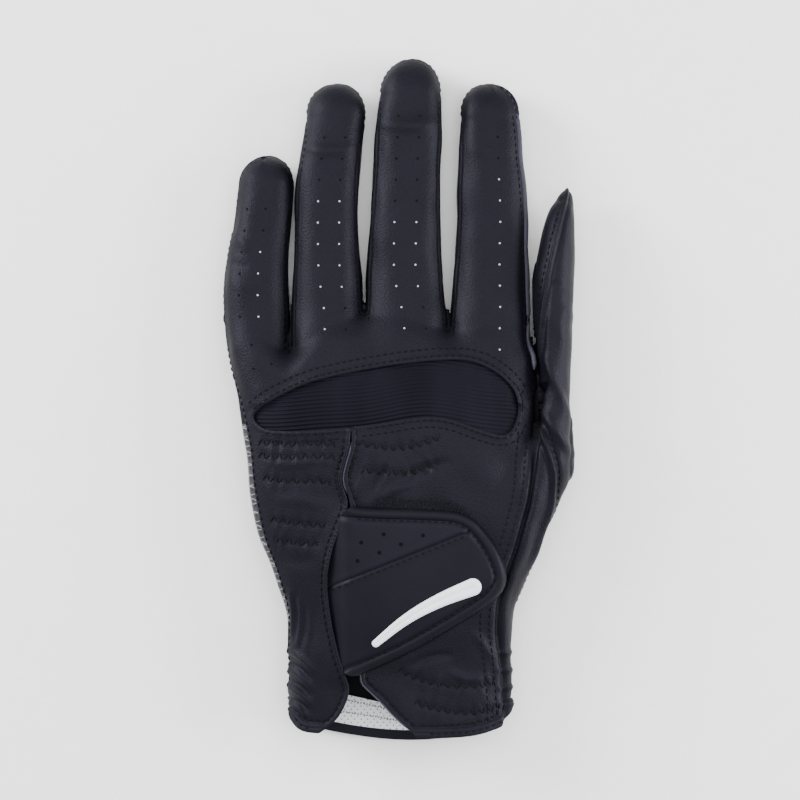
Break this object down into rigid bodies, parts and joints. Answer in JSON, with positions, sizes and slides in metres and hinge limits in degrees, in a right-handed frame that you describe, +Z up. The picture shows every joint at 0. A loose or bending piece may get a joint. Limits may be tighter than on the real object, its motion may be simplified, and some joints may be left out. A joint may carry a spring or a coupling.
{
  "type": "golf glove",
  "caption": "Left-hand golf glove lying palm down, with stretch knuckle insert, slit wrist and a hook-and-loop closure tab.",
  "frame": {"origin": "centre of the glove's footprint, on the table it lies on, palm down", "axes": "+Y from the cuff to the fingertips, +Z up through the back of the hand, +X towards the thumb"},
  "size_m": [0.1169, 0.2295, 0.0305],
  "materials": {
    "palm_leather": "fine pebbled grain, soft sheen",
    "back_leather": "fine pebbled grain, soft sheen",
    "patterned_leather": "dark leather printed with a silver cross-hatch",
    "tab_leather": "soft suede underside",
    "tab_face": "smooth coated face, satin",
    "edge_binding": "folded synthetic edging, satin",
    "stretch_knit": "ribbed stretch knit",
    "loop_fabric": "matt brushed loops",
    "hook_plastic": "moulded hooks on a woven tape",
    "white_lining": "white perforated synthetic lining",
    "elastic_tape": "woven elastic tape",
    "badge_rubber": "pale moulded rubber, satin"
  },
  "bodies": {
    "hand": {"palm_panel": "palm_leather", "heel_patch": "patterned_leather", "thumb_gusset": "palm_leather", "knuckle_back_panel": "back_leather", "knuckle_stretch_insert": "stretch_knit", "back_panel_left": "back_leather", "back_panel_right": "back_leather", "slit_binding_left": "edge_binding", "slit_binding_right": "edge_binding", "palm_hem_binding": "edge_binding", "loop_pad": "loop_fabric", "wrist_lining": "white_lining", "back_elastics": "elastic_tape", "wrist_elastics": "elastic_tape"},
    "little_finger": {"little_finger_back": "back_leather", "little_finger_front": "palm_leather", "little_fourchette": "palm_leather"},
    "ring_finger": {"ring_finger_back": "back_leather", "ring_finger_front": "palm_leather", "ring_fourchettes": "palm_leather"},
    "middle_finger": {"middle_finger_back": "back_leather", "middle_finger_front": "palm_leather", "middle_fourchettes": "palm_leather"},
    "index_finger": {"index_finger_back": "back_leather", "index_finger_front": "palm_leather", "index_fourchette": "palm_leather", "index_outseam": "back_leather"},
    "thumb": {"thumb_upper_panel": "back_leather", "thumb_lower_panel": "palm_leather"},
    "tab": {"closure_tab": "tab_leather", "tab_binding": "edge_binding", "tab_upper_panel": "tab_face", "tab_lower_panel": "tab_face", "tab_hook_pad": "hook_plastic", "badge": "badge_rubber"}
  },
  "joints": [
    {"name": "little_finger_bend", "type": "hinge", "parent": "hand", "child": "little_finger", "pos_m": [-0.048, 0.027, 0.0024], "axis": [-1, 0, 0], "range_deg": [0, 75]},
    {"name": "ring_finger_bend", "type": "hinge", "parent": "hand", "child": "ring_finger", "pos_m": [-0.024, 0.04, 0.0024], "axis": [-1, 0, 0], "range_deg": [0, 75]},
    {"name": "middle_finger_bend", "type": "hinge", "parent": "hand", "child": "middle_finger", "pos_m": [0.0014, 0.04, 0.0024], "axis": [-1, 0, 0], "range_deg": [0, 75]},
    {"name": "index_finger_bend", "type": "hinge", "parent": "hand", "child": "index_finger", "pos_m": [0.0305, 0.035, 0.0024], "axis": [-1, 0, 0], "range_deg": [0, 75]},
    {"name": "thumb_spread", "type": "hinge", "parent": "hand", "child": "thumb", "pos_m": [0.0576, -0.0105, 0.012], "axis": [0, 0, -1], "range_deg": [0, 40]},
    {"name": "tab_lift", "type": "hinge", "parent": "hand", "child": "tab", "pos_m": [-0.0222, -0.06, 0.0272], "axis": [0, -1, 0], "range_deg": [0, 150]}
  ]
}
